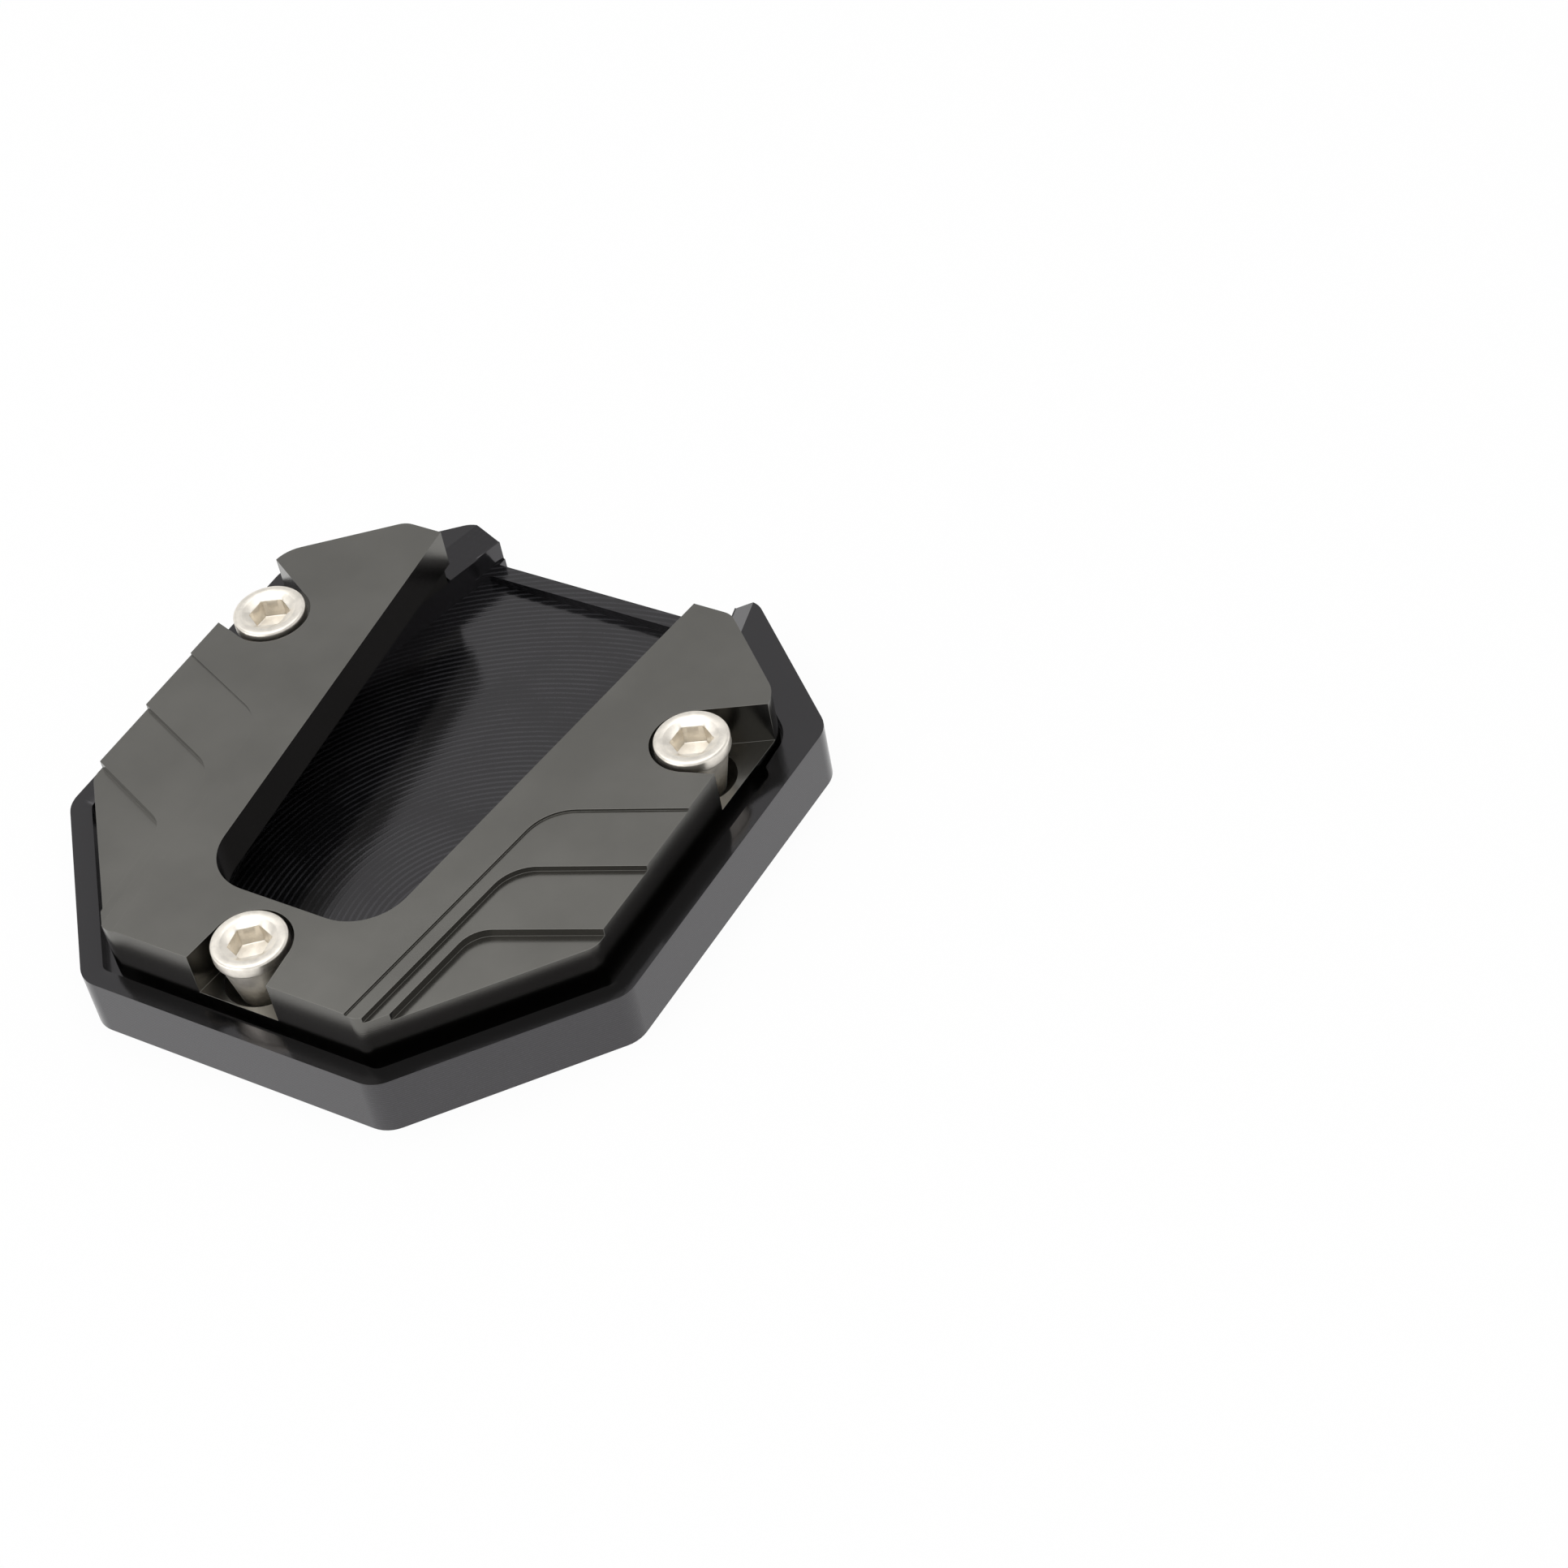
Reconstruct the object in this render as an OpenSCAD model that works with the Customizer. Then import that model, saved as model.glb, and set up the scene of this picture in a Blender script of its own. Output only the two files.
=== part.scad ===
// Kickstand foot enlarger, milled aluminium: a base plate with a rim and a
// foot pocket, a clamp plate with a leg slot and feather steps, three screws.
// Millimetres. X runs across, Y from the closed front to the open back, Z up.
// Heights are from the ground face, Y values below from the front edge.

/* [Base plate] */
// overall width across the two sides
base_width = 90; // [70:0.5:120]
// overall length from the front edge to the horn tips
base_length = 94.4; // [80:0.2:120]
// height of the rim above the ground
base_height = 8.8; // [7.5:0.1:12]
// width of the front edge between its two corners
front_edge_width = 46.3; // [36:0.1:56]
// how far back the front corners are cut off
front_cut_depth = 25.5; // [18:0.5:34]
// how far forward the back corners are cut off
back_cut_depth = 17.9; // [12:0.1:26]
// distance between the outer corners of the two horns
horn_spread = 48; // [46:0.2:56]
// rounding of the upright outer corners
base_corner_radius = 4.5; // [2:0.1:8]
// rounding of the horn tips
horn_corner_radius = 3.6; // [1:0.1:5]
// flat top of the thin rim
rim_width = 0.9; // [0.6:0.1:2]
// how far the inner slope of the rim runs inwards
rim_slope = 2; // [0.5:0.1:3]
// thickness of the base under the clamp plate
seat_height = 6.2; // [5:0.1:8]
// distance from the back cuts to where the sloped rim ends
rim_end_gap = 7.8; // [6:0.1:10]

/* [Foot pocket] */
// thickness of the floor under the kickstand foot
floor_thickness = 2; // [1.5:0.1:3.5]
// where the pocket starts behind the front edge
pocket_front = 15; // [13.5:0.5:20]
// width of the pocket at its front
pocket_front_width = 34; // [28:0.5:44]
// thickness of the base beside the widest part of the pocket
pocket_side_wall = 18.2; // [17:0.1:24]
// where the widest part starts
pocket_wide_start = 50; // [40:1:58]
// length of the narrowing part behind it
pocket_taper_length = 28.4; // [18:0.2:34]
// how far each side of the pocket runs in towards the open mouth
mouth_narrowing = 7; // [4:0.1:9]
// rounding of the pocket's corners
pocket_corner_radius = 8; // [3:0.5:12]
// ledge beside the mouth under its bevel
lead_ledge = 0.2; // [0.1:0.1:1.5]
// width of the bevel beside the mouth
lead_bevel = 3.1; // [1:0.1:4]
// height of the bevel's lower edge above the seat
lead_lift = 0.4; // [0.1:0.1:1]
// height of the lip across the open mouth
lip_height = 3.4; // [2.5:0.1:5.5]
// thickness of the lip from front to back
lip_thickness = 2.5; // [1.5:0.1:4]
// how far the lip stands back between the horn tips
lip_setback = 1.4; // [0.5:0.1:3]

/* [Clamp plate] */
// thickness of the clamp plate at its edge
plate_thickness = 10.2; // [8:0.1:14]
// thickness of the clamp plate over the foot
bridge_thickness = 6; // [4:0.1:8]
// set-back of the plate's front from the base's front edge
plate_front_gap = 3.85; // [3:0.05:6]
// set-back of the plate's sides and front cuts
plate_side_gap = 4.65; // [3.5:0.05:7]
// set-back of the plate from the base's back cuts
plate_back_gap = 5.75; // [5:0.05:8]
// distance from the horn tips to where the plate's two arms end
arm_setback = 10; // [6:0.2:14]
// rounding of the plate's front corners and arm ends
plate_corner_radius = 3; // [1:0.1:5]
// rounding of the corners behind the side screws
plate_back_radius = 5.5; // [2:0.1:7]
// clearance between the arms and the base's back blocks
arm_clearance = 0.5; // [0.2:0.1:1]

/* [Leg slot] */
// where the slot starts behind the front edge
slot_front = 16.4; // [15:0.2:24]
// width of the slot at its closed front
slot_front_width = 27.6; // [20:0.2:32]
// widening of each slot wall per millimetre of length
slot_taper = 0.105; // [0:0.005:0.12]
// rounding of the slot's closed corners
slot_corner_radius = 7.8; // [3:0.1:10]

/* [Feather steps] */
// where each step line leaves the front edge, from the middle
step_starts = [18.3, 20.5, 22.5];
// how far back each step line turns outwards
step_turns = [43.4, 33.3, 22.8];
// rounding of each turn
step_radii = [7, 6, 4.5];
// depth of each step below the one before
step_depths = [0.35, 0.85, 1.2];
// angle of the outer part of the step lines and of the side notches
feather_angle = 22.5; // [0:0.5:40]

/* [Screws] */
// distance of the side screws from the sides
side_screw_inset = 10.6; // [10:0.1:14]
// distance of the side screws from the horn tips
side_screw_setback = 33.1; // [28:0.1:40]
// where the front screw sits
front_screw_y = 9.1; // [8.5:0.1:11]
// diameter of the screw head
head_diameter = 10.2; // [8:0.1:11]
// how far the heads stand above the clamp plate
head_rise = 0.75; // [0:0.05:1.5]
// height of the head's straight edge
head_edge = 2.1; // [1:0.1:3]
// diameter of the thread
thread_diameter = 6; // [5:0.1:6]
// diameter where the tapered head ends
neck_diameter = 6.6; // [6.2:0.1:7.4]
// height of the taper under the head's edge
head_taper = 7.1; // [4:0.1:8]
// how far the tips stop above the ground face
tip_recess = 0.8; // [0.4:0.1:2]
// width of the hexagon socket across its flats
socket_size = 5; // [4:0.5:5]
// depth of the hexagon socket
socket_depth = 3.4; // [2:0.1:5]
// depth of the cone round the socket's mouth
mouth_depth = 0.55; // [0.2:0.05:1]
// width of the cone round the socket's mouth
socket_mouth = 7.4; // [6.2:0.1:8]
// turn of each hexagon
socket_turns = [40, 29, 30];

/* [Screw notches] */
// gap round the head in the clamp plate
head_gap = 0.6; // [0.3:0.1:1]
// widening of each notch wall up to the edge of the plate
notch_flare = 0.65; // [0:0.05:1.2]
// thickness of the clamp plate under the screws
notch_floor = 3.6; // [2.8:0.1:5]
// width of the countersink in the notch floor
sink_diameter = 10; // [8:0.1:10.2]
// depth of the countersink
sink_depth = 1.7; // [1:0.1:2.4]
// gap between the screw's neck and its hole in the clamp plate
neck_clearance = 0.05; // [0.02:0.01:0.2]
// gap between the screw's shank and its hole in the base
thread_clearance = 0.05; // [0.02:0.01:0.2]

/* [Hidden] */
over = 1;
round_steps = 96;
corner_flats = 8;
top_z = seat_height + plate_thickness;
cavity_z = top_z - bridge_thickness;
slope_angle_tan = 0.121;
half_front = front_edge_width / 2;
half_width = base_width / 2;
half_horn = horn_spread / 2;
block_width = plate_back_gap - arm_clearance;
side_end = base_length - back_cut_depth;
arm_end = base_length - arm_setback;
pocket_width = base_width - 2 * pocket_side_wall;
pocket_wide_end = base_length - pocket_taper_length;
mouth_width = pocket_width - 2 * mouth_narrowing;
mouth_slope = mouth_narrowing / pocket_taper_length;
screw_spread = base_width - 2 * side_screw_inset;
side_screw_y = base_length - side_screw_setback;
lip_back = base_length - lip_setback;
lip_front = lip_back - lip_thickness;
lip_half = mouth_width / 2 - lead_ledge;
head_top = top_z + head_rise;
head_bottom = head_top - head_edge;
neck_z = head_bottom - head_taper;
thread_z = neck_z - (neck_diameter - thread_diameter) / 2;
shank_radius = thread_diameter / 2;
notch_radius = head_diameter / 2 + head_gap;
neck_hole = neck_diameter / 2 + neck_clearance;
sink_slope = (sink_diameter / 2 - neck_hole) / sink_depth;
sink_over = 0.2;
screw_places = [
    [0, front_screw_y, -90],
    [screw_spread / 2, side_screw_y, feather_angle],
    [-screw_spread / 2, side_screw_y, 180 - feather_angle],
];

// outline of the base, counter-clockwise from the left front corner
base_outline = [
    [-half_front, 0], [half_front, 0],
    [half_width, front_cut_depth], [half_width, side_end],
    [half_horn, base_length], [-half_horn, base_length],
    [-half_width, side_end], [-half_width, front_cut_depth],
];
base_radii = [
    base_corner_radius, base_corner_radius, base_corner_radius, base_corner_radius,
    horn_corner_radius, horn_corner_radius, base_corner_radius, base_corner_radius,
];

function unit(v) = v / norm(v);
function wrap(list, i) = list[(i + len(list)) % len(list)];

// point where two lines meet, each given by a point and a direction
function meet(p, d, q, e) =
    let (k = ((q.x - p.x) * e.y - (q.y - p.y) * e.x) / (d.x * e.y - d.y * e.x))
    p + k * d;

// a counter-clockwise outline with each side moved inwards by its own gap
function inset(list, gaps) = [
    for (i = [0 : len(list) - 1])
        let (
            a = unit(wrap(list, i) - wrap(list, i - 1)),
            b = unit(wrap(list, i + 1) - wrap(list, i)),
            p = list[i] + wrap(gaps, i - 1) * [-a.y, a.x],
            q = list[i] + gaps[i] * [-b.y, b.x]
        )
        meet(p, a, q, b)
];

// where the rounding of a corner starts and ends, and its centre
function corner(list, radii, i) =
    let (
        p = list[i],
        u = unit(wrap(list, i - 1) - p),
        v = unit(wrap(list, i + 1) - p),
        half = acos(u * v) / 2,
        r = radii[i]
    )
    [p + u * r / tan(half), p + v * r / tan(half), p + unit(u + v) * r / sin(half)];

// a convex outline with true round corners
module rounded(list, radii) {
    polygon([for (i = [0 : len(list) - 1]) each [
        corner(list, radii, i)[0], corner(list, radii, i)[1]]]);
    for (i = [0 : len(list) - 1])
        if (radii[i] > 0)
            translate(corner(list, radii, i)[2]) circle(r = radii[i], $fn = round_steps);
}

module slab(z0, z1) {
    translate([0, 0, z0]) linear_extrude(z1 - z0) children();
}

module placed() {
    translate([0, -base_length / 2, 0]) children();
}

// half width of the pocket's mouth walls at a distance from the front
function mouth_half(y) = mouth_width / 2 + mouth_slope * (base_length - y);

// outline of the foot pocket up to a given back end
module pocket_outline(back, radius) {
    rounded([
        [-pocket_front_width / 2, pocket_front], [pocket_front_width / 2, pocket_front],
        [pocket_width / 2, pocket_wide_start], [pocket_width / 2, pocket_wide_end],
        [mouth_half(back), back], [-mouth_half(back), back],
        [-pocket_width / 2, pocket_wide_end], [-pocket_width / 2, pocket_wide_start],
    ], [pocket_corner_radius, pocket_corner_radius, pocket_corner_radius,
        pocket_corner_radius, radius, radius, pocket_corner_radius, pocket_corner_radius]);
}

// points of an outline whose corners turn in short flats
function arcs(list, radii) = [
    for (i = [0 : len(list) - 1])
        let (
            c = corner(list, radii, i)[2],
            a = corner(list, radii, i)[0] - c,
            b = corner(list, radii, i)[1] - c,
            start = atan2(a.y, a.x),
            turn = acos(unit(a) * unit(b))
        )
        for (k = [0 : corner_flats])
            c + radii[i] * [cos(start + turn * k / corner_flats),
                sin(start + turn * k / corner_flats)]
];

// outline of the recess inside the rim at a distance from the outer edge
module rim_outline(gap) {
    back = gap + rim_end_gap - rim_width;
    r = base_corner_radius - gap;
    polygon(arcs(inset(base_outline, [gap, gap, gap, back, back, back, gap, gap]),
        [r, r, r, r, r, r, r, r]));
}

// space above the seat with the sloped inside of the rim
module rim_recess() {
    slope = rim_slope / (base_height - seat_height);
    hull() {
        slab(seat_height, seat_height + 0.01) rim_outline(rim_width + rim_slope);
        slab(base_height + 0.5, base_height + 0.51) rim_outline(rim_width - 0.5 * slope);
    }
}

// upright walls round the clamp plate's arms, behind the side screws
module arm_recess() {
    side = plate_side_gap - arm_clearance;
    r = plate_back_radius + arm_clearance;
    list = inset(base_outline, [side, side, side, block_width, base_length - lip_front,
        block_width, side, side]);
    slab(seat_height, base_height + over)
        rounded([
            [-half_width + side, side_screw_y], [half_width - side, side_screw_y],
            list[3], list[4], list[5], list[6],
        ], [0, 0, r, 0, 0, r]);
}

// bevelled lead-in on one side of the mouth
module lead_in() {
    angle = atan(mouth_slope);
    run = base_length - arm_end + 6;
    rise = base_height - seat_height - lead_lift;
    translate([mouth_half(base_length + over), base_length + over, seat_height + lead_lift])
        rotate([90, 0, angle]) linear_extrude(run) polygon([
            [-5, 0], [lead_ledge, 0], [lead_ledge + lead_bevel, rise],
            [lead_ledge + lead_bevel * (1 + 1 / rise), rise + 1], [-5, rise + 1],
        ]);
}

module base_plate() {
    color([0.08, 0.08, 0.085]) placed() difference() {
        slab(0, base_height) rounded(base_outline, base_radii);
        rim_recess();
        arm_recess();
        for (side = [0, 1]) mirror([side, 0, 0]) lead_in();
        // pocket for the kickstand foot, closed by the lip at the back
        slab(floor_thickness, lip_height) pocket_outline(lip_front, 2.5);
        slab(lip_height, base_height + over) pocket_outline(base_length + over, 0);
        // the lip stands back between the horns
        slab(-over, base_height + over) polygon([
            [-lip_half, lip_back], [lip_half, lip_back],
            [lip_half, base_length + over], [-lip_half, base_length + over],
        ]);
        for (place = screw_places)
            translate([place.x, place.y, -over])
                cylinder(r = shank_radius + thread_clearance,
                    h = seat_height + 2 * over, $fn = round_steps);
    }
}

// outline of the clamp plate without its slot and notches
module plate_outline() {
    list = inset(base_outline, [plate_front_gap, plate_side_gap, plate_side_gap,
        plate_back_gap, base_length - arm_end, plate_back_gap, plate_side_gap, plate_side_gap]);
    front = plate_corner_radius;
    back = plate_back_radius;
    rounded(list, [front, front, front, back, front, front, back, front]);
}

function slot_half(y) = slot_front_width / 2 + slot_taper * (y - slot_front);

// outline of the leg slot, open at the back
module slot_outline() {
    far = base_length + over;
    rounded([
        [-slot_half(slot_front), slot_front], [slot_half(slot_front), slot_front],
        [slot_half(far), far], [-slot_half(far), far],
    ], [slot_corner_radius, slot_corner_radius, 0, 0]);
}

// outline of one screw notch, from the screw outwards along X
module notch_outline() {
    reach = 16;
    flare = notch_flare / (half_width - plate_side_gap - screw_spread / 2);
    circle(r = notch_radius, $fn = round_steps);
    polygon([
        [0, -notch_radius], [reach, -notch_radius - flare * reach],
        [reach, notch_radius + flare * reach], [0, notch_radius],
    ]);
}

// area outside one feather step line, on the right-hand side
module feather_area(i) {
    outer = half_width + 5;
    turn = [step_starts[i] + slope_angle_tan * (step_turns[i] - plate_front_gap), step_turns[i]];
    rounded([
        [step_starts[i] - slope_angle_tan * (plate_front_gap + 5), -5],
        [outer, -5],
        [outer, turn.y + (outer - turn.x) * tan(feather_angle)],
        turn,
    ], [0, 0, 0, step_radii[i]]);
}

module clamp_plate() {
    color([0.42, 0.41, 0.39]) placed() difference() {
        slab(seat_height, top_z) plate_outline();
        slab(seat_height - over, top_z + over) slot_outline();
        // room for the foot under the bridge
        slab(seat_height - over, cavity_z) pocket_outline(base_length + over, 0);
        // notches and countersinks for the three screws
        for (place = screw_places)
            translate([place.x, place.y, 0]) {
                rotate([0, 0, place.z])
                    slab(seat_height + notch_floor, top_z + over) notch_outline();
                translate([0, 0, seat_height + notch_floor - sink_depth])
                    cylinder(r1 = neck_hole, h = sink_depth + sink_over,
                        r2 = sink_diameter / 2 + sink_over * sink_slope, $fn = round_steps);
                translate([0, 0, seat_height - over])
                    cylinder(r = neck_hole, h = notch_floor + over, $fn = round_steps);
            }
        // feather steps on both arms
        for (i = [0 : len(step_depths) - 1], side = [0, 1])
            mirror([side, 0, 0])
                slab(top_z - sum_to(step_depths, i), top_z + over) feather_area(i);
    }
}

function sum_to(list, i) = i < 0 ? 0 : list[i] + sum_to(list, i - 1);

module screw(turn) {
    rim = head_diameter / 2;
    edge = 0.45;
    tip = 0.6;
    across_corners = socket_size / cos(30);
    socket_z = head_top - socket_depth;
    difference() {
        rotate_extrude($fn = round_steps) polygon([
            [0, tip_recess],
            [shank_radius - tip, tip_recess],
            [shank_radius, tip_recess + tip],
            [shank_radius, thread_z],
            [neck_diameter / 2, neck_z],
            [rim - edge, head_bottom],
            [rim, head_bottom + edge],
            [rim, head_top - edge],
            [rim - edge, head_top],
            [0, head_top],
        ]);
        translate([0, 0, socket_z]) rotate([0, 0, turn])
            cylinder(d = across_corners, h = socket_depth + over, $fn = 6);
        // drilled bottom of the socket
        translate([0, 0, socket_z - 0.8])
            cylinder(r1 = 0, r2 = 2.5, h = 1, $fn = round_steps);
        // cone round the mouth of the socket
        translate([0, 0, head_top - mouth_depth])
            cylinder(d1 = across_corners + 0.1, h = mouth_depth + over,
                d2 = socket_mouth + over * (socket_mouth - across_corners) / mouth_depth,
                $fn = round_steps);
    }
}

module clamp_screws() {
    color([0.86, 0.84, 0.8]) placed()
        for (i = [0 : len(screw_places) - 1])
            translate([screw_places[i].x, screw_places[i].y, 0]) screw(socket_turns[i]);
}

base_plate();
clamp_plate();
clamp_screws();
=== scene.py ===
"""Kickstand foot enlarger: the milled frame dressed with broken edges,
anodised and turned finishes, and a white studio stage."""

import math

import bmesh
import bpy
from bpy.props import FloatProperty, FloatVectorProperty, PointerProperty
from mathutils import Matrix, Vector


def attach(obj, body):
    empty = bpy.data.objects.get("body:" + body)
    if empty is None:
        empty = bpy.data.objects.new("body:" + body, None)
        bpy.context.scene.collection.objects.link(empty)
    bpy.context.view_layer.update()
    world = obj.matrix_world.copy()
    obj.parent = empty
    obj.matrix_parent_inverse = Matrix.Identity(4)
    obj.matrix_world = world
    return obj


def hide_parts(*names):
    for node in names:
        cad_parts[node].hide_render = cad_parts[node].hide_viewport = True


bl_info = {
    "name": "Kickstand Foot Enlarger",
    "version": (1, 0, 0),
    "blender": (4, 5, 0),
    "location": "View3D > Sidebar > Foot Enlarger",
    "description": "Dresses the foot enlarger's plates and screws and sets its stage",
    "category": "Object",
}

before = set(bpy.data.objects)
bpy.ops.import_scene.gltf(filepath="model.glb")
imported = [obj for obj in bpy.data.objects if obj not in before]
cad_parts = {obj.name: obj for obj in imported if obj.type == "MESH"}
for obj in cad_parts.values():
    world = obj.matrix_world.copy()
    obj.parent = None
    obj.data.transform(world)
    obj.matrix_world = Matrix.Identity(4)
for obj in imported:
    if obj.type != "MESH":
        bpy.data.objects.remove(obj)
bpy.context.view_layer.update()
MM = 0.001

# Limits that the mesh work uses, in metres and radians
MERGE = 0.002 * MM
NEAR = 0.01 * MM
RIM_EDGE = 0.1 * MM
FLAT = math.radians(0.6)
SHARP = math.radians(20)
SMOOTH_BELOW = math.radians(42)
EDGE_SEGMENTS = 3
# the upward part of the normal of the slope inside the rim
SLOPE = (0.5, 0.72)

# Base plate: heights of the clamp plate's seat and of the lip, in millimetres,
# the left horn's wedge, and a point and the direction of its bevel's plane
SEAT = 6.2
LIP = 3.4
HORN_FOOT = ((-27.1, 37.7), (-22.14, 37.7), (-20.8, 43.04))
HORN_BEVEL = ((-21.1, 42.78, 6.6), (0.5624, -0.1387, 0.8152))

# Screws: place and turn in degrees, then the profile's sizes in millimetres
SCREWS = (
    ((0.0, -38.1), 40),
    ((34.4, 14.1), 29),
    ((-34.4, 14.1), 30),
)
TIP_RADIUS = 2.4
TIP = 0.8
SHANK_RADIUS = 3.0
SHANK_BOTTOM = 1.4
SHANK_TOP = 7.65
TAPER_RADIUS = 3.3
TAPER_BOTTOM = 7.95
HEAD_RADIUS = 5.1
HEAD_BOTTOM = 15.05
HEAD_TOP = 17.15
MOUTH_RADIUS = 3.7
MOUTH_DEPTH = 0.55
SOCKET_FLAT = 2.5
SOCKET_CORNER = SOCKET_FLAT / math.cos(math.radians(30))
SOCKET_FLOOR = 13.75
DRILL_RADIUS = 2.3
DRILL_DEPTH = 0.75
DRILL_POINT = 0.3
AROUND = 96

# Stage: the view's directions, and the floor's sizes in metres
VIEW_RIGHT = (0.85876, 0.49176, -0.14381)
VIEW_AHEAD = (-0.44083, 0.56613, -0.69654)
FLOOR_RADIUS = 1.2
FLOOR_EDGE = 0.45
FLOOR_FLARE = 1.05
FLOOR_GAP = 0.02 * MM
# name, place, width and height in metres, and power in watts
LAMPS = (
    ("overhead_softbox", (-0.12, -0.08, 1.0), 1.5, 1.5, 7.0),
    ("front_strip", (-0.3, -0.92, 0.2), 0.9, 0.1, 1.8),
)


# Mesh helpers


def cleaned(bm):
    """Merges doubles and joins triangles that lie in one plane."""
    bmesh.ops.remove_doubles(bm, verts=bm.verts, dist=MERGE)
    bmesh.ops.dissolve_limit(bm, angle_limit=FLAT, verts=bm.verts, edges=bm.edges)
    return bm


def clean_copy(node):
    """A bmesh copy of a CAD node with its triangles joined into flat faces."""
    bm = bmesh.new()
    bm.from_mesh(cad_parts[node].data)
    return cleaned(bm)


def break_edges(bm, width):
    """Rounds every sharp edge a little, as deburring does."""
    sharp = [e for e in bm.edges if len(e.link_faces) == 2 and e.calc_face_angle(0) > SHARP]
    bmesh.ops.bevel(
        bm,
        geom=sharp,
        offset=width,
        offset_type="OFFSET",
        affect="EDGES",
        segments=EDGE_SEGMENTS,
        profile=0.5,
        material=-1,
        clamp_overlap=True,
    )


def rim_slope(bm):
    """The faces that slope from the rim's top down to the recess."""
    low, high = SLOPE
    return [f for f in bm.faces if low < f.normal.z < high]


def flatten_rim(bm, top, drop):
    """Lifts the slope inside the rim to a near-level shelf with an upright wall."""
    inside = set(rim_slope(bm))
    outline = [
        e for e in bm.edges
        if len(inside & set(e.link_faces)) == 1
        and min(v.co.z for v in e.verts) < top - RIM_EDGE
    ]
    bmesh.ops.split_edges(bm, edges=outline)
    inside = set(rim_slope(bm))
    verts = {v for f in inside for v in f.verts}
    depth = max(top - v.co.z for v in verts)
    below = {}
    for vert in verts:
        if vert.co.z < top - NEAR:
            low = vert.co.z
            vert.co.z = top - drop * (top - low) / depth
            below[vert.co.copy().freeze()] = low
    loose = [
        e for e in bm.edges
        if e.is_boundary and e.link_faces[0] in inside
        and min(v.co.z for v in e.verts) < top - NEAR
    ]
    walls = bmesh.ops.extrude_edge_only(bm, edges=loose)["geom"]
    for vert in walls:
        if isinstance(vert, bmesh.types.BMVert):
            vert.co.z = below.get(vert.co.copy().freeze(), vert.co.z)
    bmesh.ops.remove_doubles(bm, verts=bm.verts, dist=MERGE)
    bmesh.ops.recalc_face_normals(bm, faces=bm.faces)


def horn_foot(side, top):
    """A closed wedge that carries one horn's bevel forward to the arm's end."""
    bm = bmesh.new()
    made = bmesh.ops.create_circle(bm, cap_ends=True, radius=1.0, segments=3)["verts"]
    for vert, (x, y) in zip(made, HORN_FOOT):
        vert.co = Vector((x * MM, y * MM, SEAT * MM))
    raised = bmesh.ops.extrude_face_region(bm, geom=bm.faces[:])["geom"]
    raised = [item for item in raised if isinstance(item, bmesh.types.BMVert)]
    bmesh.ops.translate(bm, verts=raised, vec=(0, 0, top - SEAT * MM))
    point, normal = (Vector(value) for value in HORN_BEVEL)
    cut = bmesh.ops.bisect_plane(
        bm,
        geom=bm.verts[:] + bm.edges[:] + bm.faces[:],
        plane_co=point * MM,
        plane_no=normal,
        clear_outer=True,
    )["geom_cut"]
    bmesh.ops.edgeloop_fill(
        bm, edges=[item for item in cut if isinstance(item, bmesh.types.BMEdge)])
    bmesh.ops.scale(bm, verts=bm.verts, vec=(side, 1, 1))
    bmesh.ops.recalc_face_normals(bm, faces=bm.faces)
    return bm


def fused(bm, others):
    """The bmesh united with the other closed shells."""
    shells = []
    for shell in (bm, *others):
        mesh = bpy.data.meshes.new("shell")
        shell.to_mesh(mesh)
        shell.free()
        shells.append(bpy.data.objects.new("shell", mesh))
        bpy.context.scene.collection.objects.link(shells[-1])
    for shell in shells[1:]:
        union = shells[0].modifiers.new("union", "BOOLEAN")
        union.operation = "UNION"
        union.object = shell
    held = shells[0].evaluated_get(bpy.context.evaluated_depsgraph_get())
    whole = bmesh.new()
    whole.from_mesh(held.to_mesh())
    held.to_mesh_clear()
    for shell in shells:
        bpy.data.meshes.remove(shell.data)
    return cleaned(whole)


def finish_piece(bm, name, node, material):
    """Turns the bmesh into a piece that stands for its CAD node."""
    bmesh.ops.recalc_face_normals(bm, faces=bm.faces)
    for face in bm.faces:
        face.smooth = True
    for edge in bm.edges:
        edge.smooth = len(edge.link_faces) == 2 and edge.calc_face_angle(0) < SMOOTH_BELOW
    mesh = bpy.data.meshes.new(name)
    bm.to_mesh(mesh)
    bm.free()
    piece = bpy.data.objects.new(name, mesh)
    bpy.context.scene.collection.objects.link(piece)
    mesh.materials.append(material)
    # flat faces keep their own shading beside the rounded edges
    flats = piece.modifiers.new("flat_faces", "WEIGHTED_NORMAL")
    flats.keep_sharp = True
    flats.weight = 100
    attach(piece, "root")
    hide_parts(node)


# Screw shape


def rolled_rim(radius):
    """Profile points round the head's lower and upper edge."""
    points = []
    for height, start in ((HEAD_BOTTOM + radius, -90), (HEAD_TOP - radius, 0)):
        for step in range(5):
            angle = math.radians(start + 22.5 * step)
            points.append((HEAD_RADIUS - radius + radius * math.cos(angle),
                           height + radius * math.sin(angle)))
    return points


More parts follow.
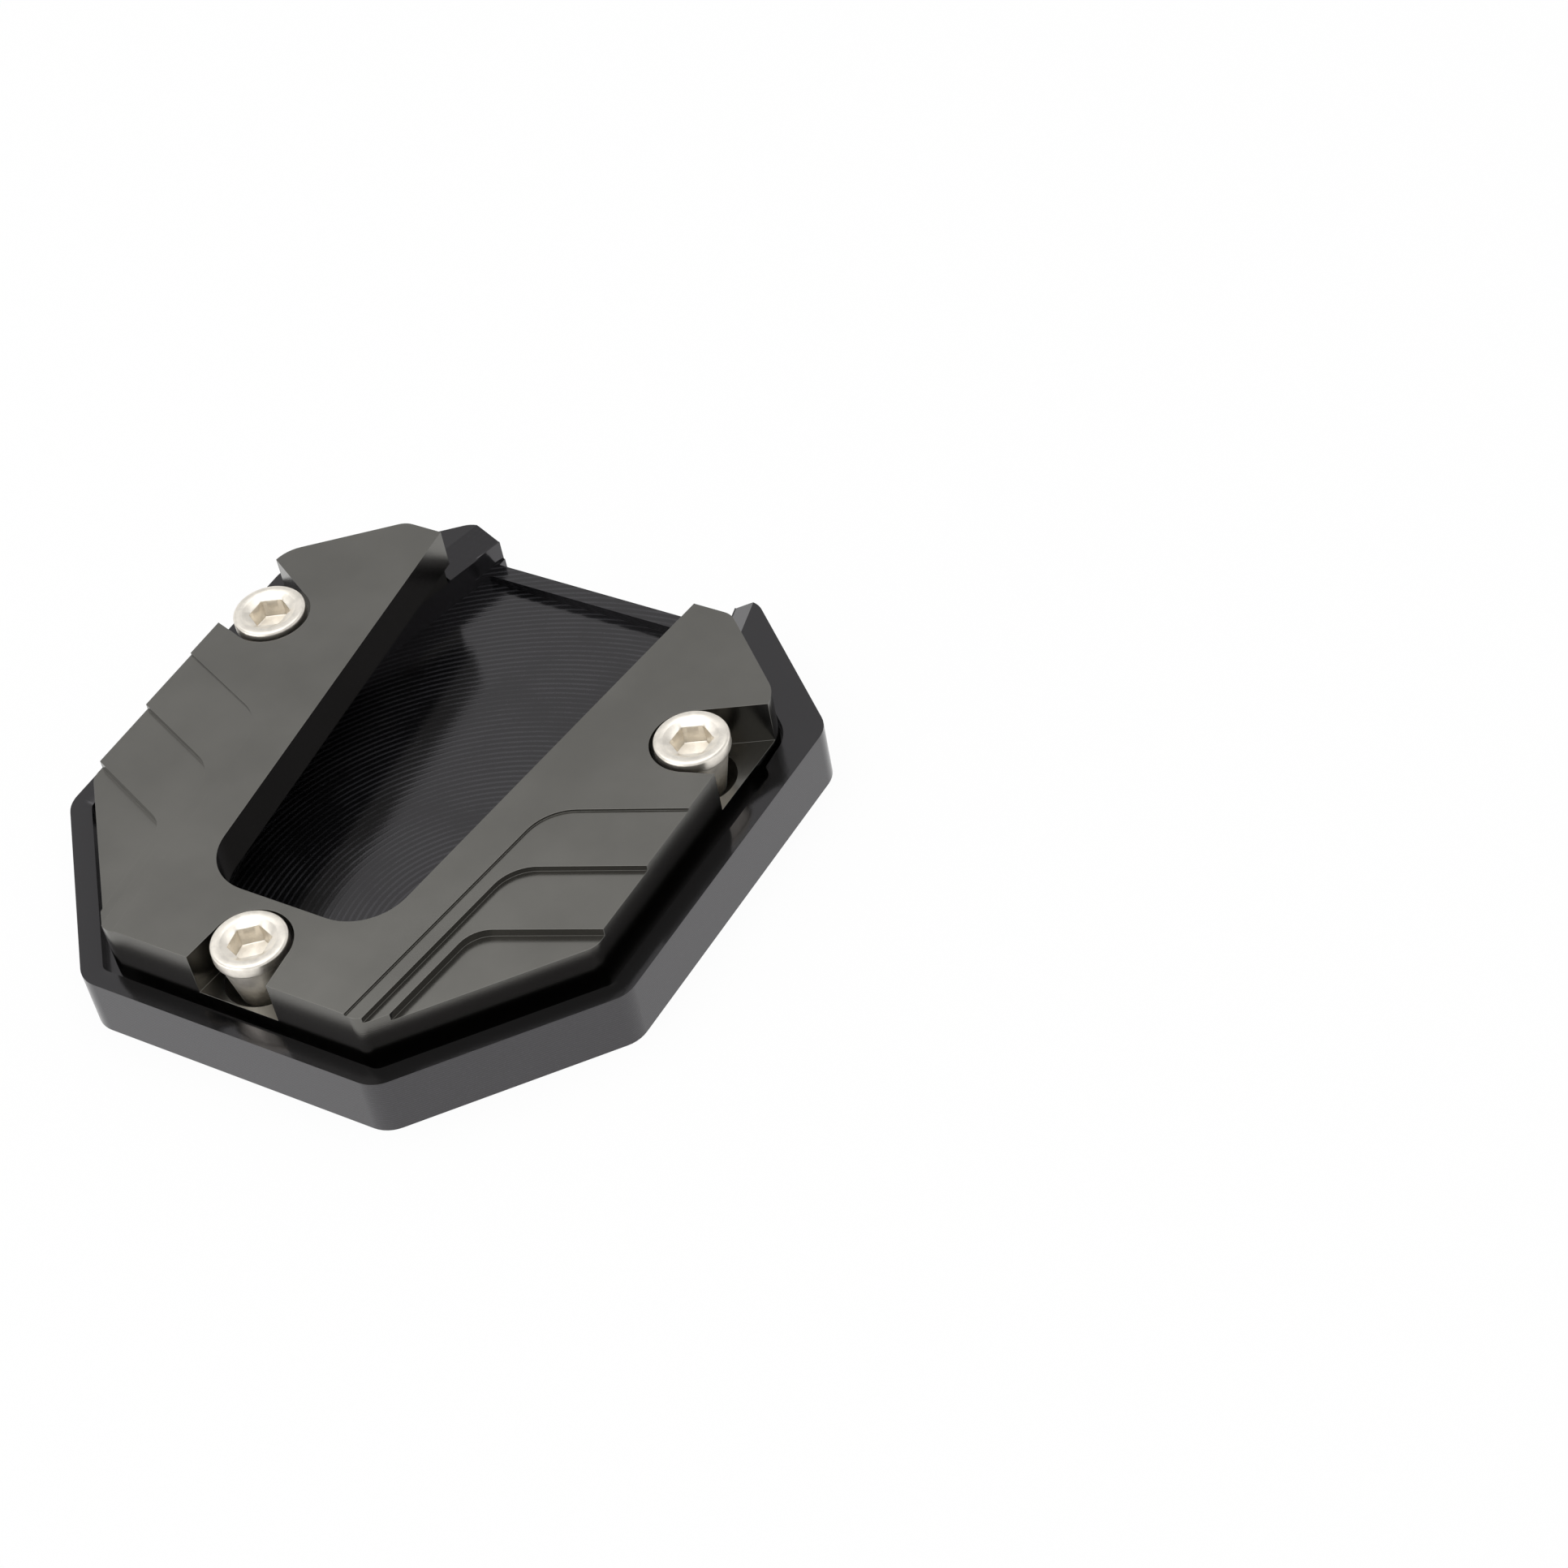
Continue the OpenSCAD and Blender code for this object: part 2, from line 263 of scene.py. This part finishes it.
def screw_profile(radius):
    """Radius, height and whether the ring is hexagonal, from the tip to the socket."""
    mouth = HEAD_TOP - MOUTH_DEPTH
    outside = [
        (TIP_RADIUS, TIP),
        (SHANK_RADIUS, SHANK_BOTTOM),
        (SHANK_RADIUS, SHANK_TOP),
        (TAPER_RADIUS, TAPER_BOTTOM),
        *rolled_rim(radius),
        # the cone's upper and lower edge are eased by a few hundredths
        (MOUTH_RADIUS + 0.12, HEAD_TOP),
        (MOUTH_RADIUS - 0.05, HEAD_TOP - 0.08),
        (SOCKET_CORNER + 0.08, mouth + 0.04),
    ]
    socket = [
        (SOCKET_FLAT + 0.06, mouth - 0.02),
        (SOCKET_FLAT, mouth - 0.12),
        (SOCKET_FLAT, SOCKET_FLOOR + 0.06),
        (SOCKET_FLAT - 0.08, SOCKET_FLOOR),
    ]
    drilled = [
        (DRILL_RADIUS, SOCKET_FLOOR - 0.02),
        (DRILL_POINT, SOCKET_FLOOR - DRILL_DEPTH),
    ]
    return [
        (r, z, hexagonal)
        for rings, hexagonal in ((outside, False), (socket, True), (drilled, False))
        for r, z in rings
    ]


def ring(bm, radius, height, hexagonal):
    """One ring of a screw, round or with six flats at the given distance."""
    made = bmesh.ops.create_circle(bm, radius=1.0, segments=AROUND)["verts"]
    for vert in made:
        angle = math.atan2(vert.co.y, vert.co.x)
        reach = radius
        if hexagonal:
            off = (math.degrees(angle) + 30) % 60 - 30
            reach = radius / math.cos(math.radians(30 - abs(off)))
        vert.co = Vector((reach * math.cos(angle), reach * math.sin(angle), height))
    return made


def turn_screw(bm, turning, place, turn, rounding):
    """One socket screw, built as rings joined along its profile."""
    before = set(bm.faces)
    loops = []
    for radius, height, hexagonal in screw_profile(rounding / MM):
        verts = ring(bm, radius, height, hexagonal)
        # a dict keeps the edges in order, so each run joins the rings alike
        loops.append((verts, list(dict.fromkeys(e for v in verts for e in v.link_edges))))
    for (_, low), (_, high) in zip(loops, loops[1:]):
        bmesh.ops.bridge_loops(bm, edges=low + high)
    for _, edges in (loops[0], loops[-1]):
        bmesh.ops.edgeloop_fill(bm, edges=edges)
    made = [face for face in bm.faces if face not in before]
    for face in made:
        for loop in face.loops:
            x, y, z = loop.vert.co
            loop[turning].uv = (math.hypot(x, y) + z, math.atan2(y, x))
    verts = [vert for ring_verts, _ in loops for vert in ring_verts]
    spin = Matrix.Rotation(math.radians(turn), 3, "Z")
    bmesh.ops.rotate(bm, verts=verts, cent=(0, 0, 0), matrix=spin)
    bmesh.ops.translate(bm, verts=verts, vec=(*place, 0))
    bmesh.ops.scale(bm, verts=verts, vec=(MM, MM, MM))


# Material helpers


def new_material(name):
    """A node material with one Principled shader joined to its output."""
    material = bpy.data.materials.new(name)
    material.use_nodes = True
    tree = material.node_tree
    tree.nodes.clear()
    output = tree.nodes.new("ShaderNodeOutputMaterial")
    shader = tree.nodes.new("ShaderNodeBsdfPrincipled")
    tree.links.new(shader.outputs["BSDF"], output.inputs["Surface"])
    return material, tree, shader


def add(tree, kind, **values):
    """A node with its properties and unlinked inputs set by name."""
    node = tree.nodes.new(kind)
    for key, value in values.items():
        if hasattr(node, key):
            setattr(node, key, value)
        else:
            node.inputs[key.replace("_", " ")].default_value = value
    return node


def object_place(tree, shift=(0, 0, 0)):
    """Object coordinates in metres, moved by a shift."""
    place = add(tree, "ShaderNodeTexCoord")
    moved = add(tree, "ShaderNodeMapping", Location=shift)
    tree.links.new(place.outputs["Object"], moved.inputs["Vector"])
    return moved.outputs["Vector"]


def joined(tree, operation, first, second):
    """A Math node on two values, each a socket or a number."""
    node = add(tree, "ShaderNodeMath", operation=operation)
    for place, value in enumerate((first, second)):
        if isinstance(value, (int, float)):
            node.inputs[place].default_value = value
        else:
            tree.links.new(value, node.inputs[place])
    return node.outputs["Value"]


def ranged(tree, value, source, target=(0, 1)):
    """The value carried from one range to another and held inside it."""
    node = add(tree, "ShaderNodeMapRange", From_Min=source[0], From_Max=source[1],
               To_Min=target[0], To_Max=target[1])
    tree.links.new(value, node.inputs["Value"])
    return node.outputs["Result"]


def blended(tree, share, first, second):
    """A colour between two, each a socket or three numbers."""
    node = add(tree, "ShaderNodeMix", data_type="RGBA")
    tree.links.new(share, node.inputs["Factor"])
    for place, colour in ((6, first), (7, second)):
        if isinstance(colour, bpy.types.NodeSocket):
            tree.links.new(colour, node.inputs[place])
        else:
            node.inputs[place].default_value = (*colour, 1)
    return node.outputs[2]


def toned(colour, tone):
    """A colour made paler or darker."""
    return [tone * c for c in colour]


def grain(tree, vector, scale, detail=3.0):
    """Noise from 0 to 1 on the given coordinates."""
    node = add(tree, "ShaderNodeTexNoise", Scale=scale, Detail=detail, Roughness=0.55)
    tree.links.new(vector, node.inputs["Vector"])
    return node.outputs["Fac"]


def cutter_lines(tree, vector, pitch, rings=False, wobble=0.0):
    """Fine parallel or circular cutter marks, one each pitch in metres."""
    node = add(tree, "ShaderNodeTexWave", Scale=0.1 * math.pi / pitch, Distortion=wobble,
               Detail=1.0)
    if rings:
        node.wave_type = "RINGS"
        node.rings_direction = "Z"
    else:
        node.wave_type = "BANDS"
        node.bands_direction = "Z"
    tree.links.new(vector, node.inputs["Vector"])
    return node.outputs["Fac"]


def facing_up(tree):
    """1 on level faces and 0 on upright ones."""
    place = add(tree, "ShaderNodeTexCoord")
    split = add(tree, "ShaderNodeSeparateXYZ")
    tree.links.new(place.outputs["Normal"], split.inputs["Vector"])
    return ranged(tree, joined(tree, "ABSOLUTE", split.outputs["Z"], 0.0), (0.6, 0.9))


def relief(tree, shader, height, depth):
    """Feeds a height from 0 to 1 to the shader as a bump so many metres deep."""
    bump = add(tree, "ShaderNodeBump", Strength=1.0, Distance=depth)
    tree.links.new(height, bump.inputs["Height"])
    tree.links.new(bump.outputs["Normal"], shader.inputs["Normal"])


# Settings


class BasePlateFinish(bpy.types.PropertyGroup):
    edge_break: FloatProperty(
        name="Edge break", description="Width of the broken edges",
        default=0.22 * MM, min=0.0, subtype="DISTANCE", unit="LENGTH")
    rim_top: FloatProperty(
        name="Rim top", description="Height of the rim above the ground",
        default=8.8 * MM, min=0.0, subtype="DISTANCE", unit="LENGTH")
    rim_drop: FloatProperty(
        name="Rim drop", description="How far the rim's shelf falls towards the recess",
        default=0.3 * MM, min=0.0, subtype="DISTANCE", unit="LENGTH")
    colour: FloatVectorProperty(
        name="Colour", description="Colour of the black anodised layer",
        default=(0.005, 0.005, 0.0055), size=3, subtype="COLOR", min=0, max=1)
    roughness: FloatProperty(
        name="Roughness", description="How blurred its reflections are",
        default=0.14, min=0.0, max=1.0, subtype="FACTOR")
    arc_centre: FloatVectorProperty(
        name="Arc centre", description="Offset of the cutter arcs' centre",
        default=(-0.018, 0.016, 0.0), size=3, subtype="TRANSLATION", unit="LENGTH")
    arc_pitch: FloatProperty(
        name="Arc pitch", description="Distance between the cutter arcs on level faces",
        default=0.95 * MM, min=0.0, subtype="DISTANCE", unit="LENGTH")
    feed_pitch: FloatProperty(
        name="Feed pitch", description="Distance between the feed lines on the walls",
        default=0.36 * MM, min=0.0, subtype="DISTANCE", unit="LENGTH")
    # the crests' paleness is a painted glint of light on the real cutter marks
    mark_glint_tone: FloatProperty(
        name="Mark tone", description="How much paler the cutter marks' crests are",
        default=5.0, min=1.0)
    mark_depth: FloatProperty(
        name="Mark depth", description="Depth of the cutter marks",
        default=0.008 * MM, min=0.0, subtype="DISTANCE", unit="LENGTH")


class ClampPlateFinish(bpy.types.PropertyGroup):
    edge_break: FloatProperty(
        name="Edge break", description="Width of the broken edges",
        default=0.1 * MM, min=0.0, subtype="DISTANCE", unit="LENGTH")
    colour: FloatVectorProperty(
        name="Colour", description="Colour of the grey anodised layer",
        default=(0.215, 0.21, 0.195), size=3, subtype="COLOR", min=0, max=1)
    roughness: FloatProperty(
        name="Roughness", description="How blurred its reflections are",
        default=0.2, min=0.0, max=1.0, subtype="FACTOR")
    # the walls' darker tone is painted shade
    wall_shade: FloatProperty(
        name="Wall tone", description="How much darker the milled walls came out than the top",
        default=0.7, min=0.0, max=1.0, subtype="FACTOR")
    feed_pitch: FloatProperty(
        name="Feed pitch", description="Distance between the feed lines on the walls",
        default=0.3 * MM, min=0.0, subtype="DISTANCE", unit="LENGTH")
    mark_depth: FloatProperty(
        name="Mark depth", description="Depth of the cutter marks and the grain",
        default=0.0016 * MM, min=0.0, subtype="DISTANCE", unit="LENGTH")


class ScrewFinish(bpy.types.PropertyGroup):
    colour: FloatVectorProperty(
        name="Colour", description="Colour of the bright steel",
        default=(0.95, 0.9, 0.815), size=3, subtype="COLOR", min=0, max=1)
    roughness: FloatProperty(
        name="Roughness", description="How blurred its reflections are",
        default=0.38, min=0.0, max=1.0, subtype="FACTOR")
    groove_depth: FloatProperty(
        name="Groove depth", description="Depth of the lathe's fine rings",
        default=0.004 * MM, min=0.0, subtype="DISTANCE", unit="LENGTH")
    rounding: FloatProperty(
        name="Rounding", description="Radius of the head's rolled rim",
        default=0.45 * MM, min=0.0, subtype="DISTANCE", unit="LENGTH")


class StageSettings(bpy.types.PropertyGroup):
    camera_place: FloatVectorProperty(
        name="Camera place", description="Where the camera stands",
        default=(0.251418, -0.247353, 0.335104), size=3,
        subtype="TRANSLATION", unit="LENGTH")
    lens: FloatProperty(
        name="Lens", description="Focal length on a 36 mm wide sensor",
        default=82.405, min=10.0, unit="CAMERA")
    soft_light: FloatProperty(
        name="Soft light", description="Strength of the surrounding light",
        default=0.6, min=0.0)
    floor_white: FloatProperty(
        name="Floor white", description="Share of plain white that the camera sees",
        default=0.95, min=0.0, max=1.0, subtype="FACTOR")
    floor_gloss: FloatProperty(
        name="Floor in gloss", description="Share of plain white that gloss shows",
        default=0.95, min=0.0, max=1.0, subtype="FACTOR")


# Operators


class FOOT_OT_base_plate(bpy.types.Operator):
    """Dress the base plate with broken edges and a black anodised finish"""

    bl_idname = "foot.base_plate"
    bl_label = "Base Plate"

    def execute(self, context):
        finish = context.scene.foot_base
        feet = [horn_foot(side, finish.rim_top) for side in (1, -1)]
        bm = fused(clean_copy("base_plate"), feet)
        flatten_rim(bm, finish.rim_top, finish.rim_drop)
        break_edges(bm, finish.edge_break)
        finish_piece(bm, "base_plate_body", "base_plate", black_anodised(finish))
        return {"FINISHED"}


class FOOT_OT_clamp_plate(bpy.types.Operator):
    """Dress the clamp plate with broken edges and a grey anodised finish"""

    bl_idname = "foot.clamp_plate"
    bl_label = "Clamp Plate"

    def execute(self, context):
        finish = context.scene.foot_clamp
        bm = clean_copy("clamp_plate")
        break_edges(bm, finish.edge_break)
        finish_piece(bm, "clamp_plate_body", "clamp_plate", grey_anodised(finish))
        return {"FINISHED"}


class FOOT_OT_clamp_screws(bpy.types.Operator):
    """Dress the three socket screws in bright turned steel"""

    bl_idname = "foot.clamp_screws"
    bl_label = "Clamp Screws"

    def execute(self, context):
        finish = context.scene.foot_screws
        bm = bmesh.new()
        turning = bm.loops.layers.uv.new("turning")
        for place, turn in SCREWS:
            turn_screw(bm, turning, place, turn, finish.rounding)
        finish_piece(bm, "clamp_screw_set", "clamp_screws", bright_steel(finish))
        return {"FINISHED"}


class FOOT_OT_stage(bpy.types.Operator):
    """Set the camera, the white floor and the soft studio light"""

    bl_idname = "foot.stage"
    bl_label = "Stage"

    def execute(self, context):
        settings = context.scene.foot_stage
        set_camera(settings)
        set_floor(settings)
        set_lamps()
        set_world(settings)
        context.scene.view_settings.view_transform = "Standard"
        return {"FINISHED"}


# Finishes


def black_anodised(finish):
    """Glossy black over milled metal: arcs on level faces, feed lines on walls; the marks'
    crests are painted paler as painted glints.
    """
    material, tree, shader = new_material("black_anodised")
    place = object_place(tree)
    fine = grain(tree, place, 3200)
    cloud = grain(tree, place, 90)

    # the pocket floor was milled coarsely, the rim's top finely
    split = add(tree, "ShaderNodeSeparateXYZ")
    tree.links.new(place, split.inputs["Vector"])
    coarse = ranged(tree, split.outputs["Z"], (LIP * MM, SEAT * MM), (1, 0.12))
    swept = object_place(tree, finish.arc_centre)
    arcs = cutter_lines(tree, swept, finish.arc_pitch, True, 0.4)
    crests = joined(tree, "MULTIPLY", ranged(tree, arcs, (0.5, 1)), coarse)
    worn = ranged(tree, cloud, (0.38, 0.6), (0.3, 1))
    feed = cutter_lines(tree, place, finish.feed_pitch, False, 1.2)
    marks = add(tree, "ShaderNodeMix", data_type="FLOAT")
    tree.links.new(facing_up(tree), marks.inputs["Factor"])
    tree.links.new(joined(tree, "MULTIPLY", feed, 0.55), marks.inputs[2])
    tree.links.new(joined(tree, "MULTIPLY", crests, worn), marks.inputs[3])
    marks = marks.outputs[0]
    height = joined(tree, "ADD", marks, joined(tree, "MULTIPLY", fine, 0.5))
    relief(tree, shader, height, finish.mark_depth)

    # the cutter marks are real; their crests are painted paler as painted glints
    marks_and_glints = ranged(tree, joined(tree, "MULTIPLY", marks, fine), (0.05, 0.35))
    colour = blended(tree, marks_and_glints, toned(finish.colour, 0.7),
                     toned(finish.colour, finish.mark_glint_tone))
    tree.links.new(colour, shader.inputs["Base Color"])
    uneven = joined(tree, "ADD", cloud, joined(tree, "MULTIPLY", fine, 0.4))
    rough = ranged(tree, uneven, (0.4, 1), toned((0.9, 1.15), finish.roughness))
    tree.links.new(rough, shader.inputs["Roughness"])
    shader.inputs["Specular Tint"].default_value = (0.99, 0.96, 1.0, 1)
    shader.inputs["IOR"].default_value = 1.68
    return material


def grey_anodised(finish):
    """Satin grey over finely milled metal, a little uneven in tone, with the walls painted
    darker than the level faces as painted shade.
    """
    material, tree, shader = new_material("titanium_anodised")
    place = object_place(tree)
    level = facing_up(tree)
    fine = grain(tree, place, 4200)
    cloud = grain(tree, place, 60, 4.0)

    feed = cutter_lines(tree, place, finish.feed_pitch, False, 1.5)
    walls = joined(tree, "SUBTRACT", 1.0, level)
    height = joined(tree, "ADD", joined(tree, "MULTIPLY", walls, feed), fine)
    relief(tree, shader, height, finish.mark_depth)

    top = blended(tree, ranged(tree, cloud, (0.35, 0.65)),
                  toned(finish.colour, 0.93), toned(finish.colour, 1.05))
    # the walls are painted darker than the level faces: painted shade
    colour = blended(tree, level, toned(finish.colour, finish.wall_shade), top)
    tree.links.new(colour, shader.inputs["Base Color"])
    uneven = joined(tree, "ADD", cloud, joined(tree, "MULTIPLY", fine, 0.5))
    rough = ranged(tree, uneven, (0.45, 1.05), toned((0.9, 1.12), finish.roughness))
    tree.links.new(rough, shader.inputs["Roughness"])
    shader.inputs["Metallic"].default_value = 1.0
    return material


def bright_steel(finish):
    """Turned steel: fine rings that follow the lathe, with small uneven patches."""
    material, tree, shader = new_material("screw_steel")
    # the map's U runs along the profile and its V round the screw
    turned = add(tree, "ShaderNodeUVMap", uv_map="turning")
    rings = add(tree, "ShaderNodeMapping", Scale=(1.0, 0.02, 1.0))
    tree.links.new(turned.outputs["UV"], rings.inputs["Vector"])
    grooves = grain(tree, rings.outputs["Vector"], 9.0, 2.0)
    patches = grain(tree, object_place(tree), 700)
    height = joined(tree, "ADD", grooves, joined(tree, "MULTIPLY", patches, 0.6))
    relief(tree, shader, height, finish.groove_depth)

    colour = blended(tree, ranged(tree, patches, (0.35, 0.6)),
                     toned(finish.colour, 0.86), finish.colour)
    tree.links.new(colour, shader.inputs["Base Color"])
    rough = ranged(tree, grooves, (0.3, 0.7), toned((0.8, 1.25), finish.roughness))
    tree.links.new(rough, shader.inputs["Roughness"])
    shader.inputs["Metallic"].default_value = 1.0
    return material


# Stage


def set_camera(settings):
    """The photograph's view: place, direction and roll worked out from its edges."""
    ahead = Vector(VIEW_AHEAD).normalized()
    up = Vector(VIEW_RIGHT).cross(ahead).normalized()
    right = ahead.cross(up).normalized()
    camera = bpy.data.objects.new("camera", bpy.data.cameras.new("camera"))
    camera.data.sensor_width = 36.0
    camera.data.lens = settings.lens
    camera.data.clip_start = 0.01
    turn = Matrix((right, up, -ahead)).transposed().to_4x4()
    camera.matrix_world = Matrix.Translation(settings.camera_place) @ turn
    bpy.context.scene.collection.objects.link(camera)
    bpy.context.scene.camera = camera


def set_floor(settings):
    """A white floor whose edge rises into a low backdrop all round."""
    bm = bmesh.new()
    bmesh.ops.create_circle(bm, cap_ends=True, radius=FLOOR_RADIUS, segments=96)
    bmesh.ops.translate(bm, verts=bm.verts, vec=(0, 0, -FLOOR_GAP))
    rim = [edge for edge in bm.edges if edge.is_boundary]
    raised = bmesh.ops.extrude_edge_only(bm, edges=rim)["geom"]
    raised = [item for item in raised if isinstance(item, bmesh.types.BMVert)]
    bmesh.ops.scale(bm, verts=raised, vec=(FLOOR_FLARE, FLOOR_FLARE, 1.0))
    bmesh.ops.translate(bm, verts=raised, vec=(0, 0, FLOOR_EDGE))
    mesh = bpy.data.meshes.new("floor")
    bm.to_mesh(mesh)
    bm.free()
    floor = bpy.data.objects.new("floor", mesh)
    bpy.context.scene.collection.objects.link(floor)
    mesh.materials.append(white_floor(settings))


def white_floor(settings):
    """Plain white to the camera, with a soft trace of the shadow kept."""
    material, tree, shader = new_material("white_floor")
    shader.inputs["Base Color"].default_value = (0.9, 0.9, 0.9, 1)
    shader.inputs["Roughness"].default_value = 0.9
    shader.inputs["Specular IOR Level"].default_value = 0.0
    glow = add(tree, "ShaderNodeEmission", Strength=1.0)
    path = add(tree, "ShaderNodeLightPath").outputs
    seen = joined(tree, "MULTIPLY", path["Is Camera Ray"], settings.floor_white)
    mirrored = joined(tree, "MAXIMUM", path["Is Glossy Ray"], path["Is Transmission Ray"])
    mirrored = joined(tree, "MULTIPLY", mirrored, settings.floor_gloss)
    blend = add(tree, "ShaderNodeMixShader")
    tree.links.new(joined(tree, "MAXIMUM", seen, mirrored), blend.inputs["Fac"])
    tree.links.new(shader.outputs["BSDF"], blend.inputs[1])
    tree.links.new(glow.outputs["Emission"], blend.inputs[2])
    output = next(node for node in tree.nodes if node.type == "OUTPUT_MATERIAL")
    tree.links.new(blend.outputs["Shader"], output.inputs["Surface"])
    return material


def set_lamps():
    """The soft lights, each facing the middle of the plate."""
    for name, place, width, height, power in LAMPS:
        lamp = bpy.data.lights.new(name, "AREA")
        lamp.shape = "RECTANGLE"
        lamp.size = width
        lamp.size_y = height
        lamp.energy = power
        holder = bpy.data.objects.new(name, lamp)
        aim = Vector(place).to_track_quat("Z", "Y").to_matrix().to_4x4()
        holder.matrix_world = Matrix.Translation(place) @ aim
        bpy.context.scene.collection.objects.link(holder)


def set_world(settings):
    """Even surroundings of one plain grey."""
    world = bpy.data.worlds.new("studio")
    bpy.context.scene.world = world
    world.use_nodes = True
    tree = world.node_tree
    tree.nodes.clear()
    output = tree.nodes.new("ShaderNodeOutputWorld")
    light = add(tree, "ShaderNodeBackground", Strength=settings.soft_light)
    light.inputs["Color"].default_value = (1, 1, 1, 1)
    tree.links.new(light.outputs["Background"], output.inputs["Surface"])


class FOOT_PT_panel(bpy.types.Panel):
    bl_label = "Foot Enlarger"
    bl_idname = "FOOT_PT_panel"
    bl_space_type = "VIEW_3D"
    bl_region_type = "UI"
    bl_category = "Foot Enlarger"

    def draw(self, context):
        scene = context.scene
        for operator in OPERATORS:
            self.layout.operator(operator.bl_idname)
        for group in (scene.foot_base, scene.foot_clamp, scene.foot_screws, scene.foot_stage):
            box = self.layout.box()
            for key in group.__annotations__:
                box.prop(group, key)


GROUPS = (BasePlateFinish, ClampPlateFinish, ScrewFinish, StageSettings)
OPERATORS = (FOOT_OT_base_plate, FOOT_OT_clamp_plate, FOOT_OT_clamp_screws, FOOT_OT_stage)


def register():
    for cls in (*GROUPS, *OPERATORS, FOOT_PT_panel):
        bpy.utils.register_class(cls)
    bpy.types.Scene.foot_base = PointerProperty(type=BasePlateFinish)
    bpy.types.Scene.foot_clamp = PointerProperty(type=ClampPlateFinish)
    bpy.types.Scene.foot_screws = PointerProperty(type=ScrewFinish)
    bpy.types.Scene.foot_stage = PointerProperty(type=StageSettings)


def unregister():
    for name in ("foot_base", "foot_clamp", "foot_screws", "foot_stage"):
        delattr(bpy.types.Scene, name)
    for cls in reversed((*GROUPS, *OPERATORS, FOOT_PT_panel)):
        bpy.utils.unregister_class(cls)


def main():
    register()
    bpy.ops.foot.stage()
    bpy.ops.foot.base_plate()
    bpy.ops.foot.clamp_plate()
    bpy.ops.foot.clamp_screws()


if __name__ == "__main__":
    main()
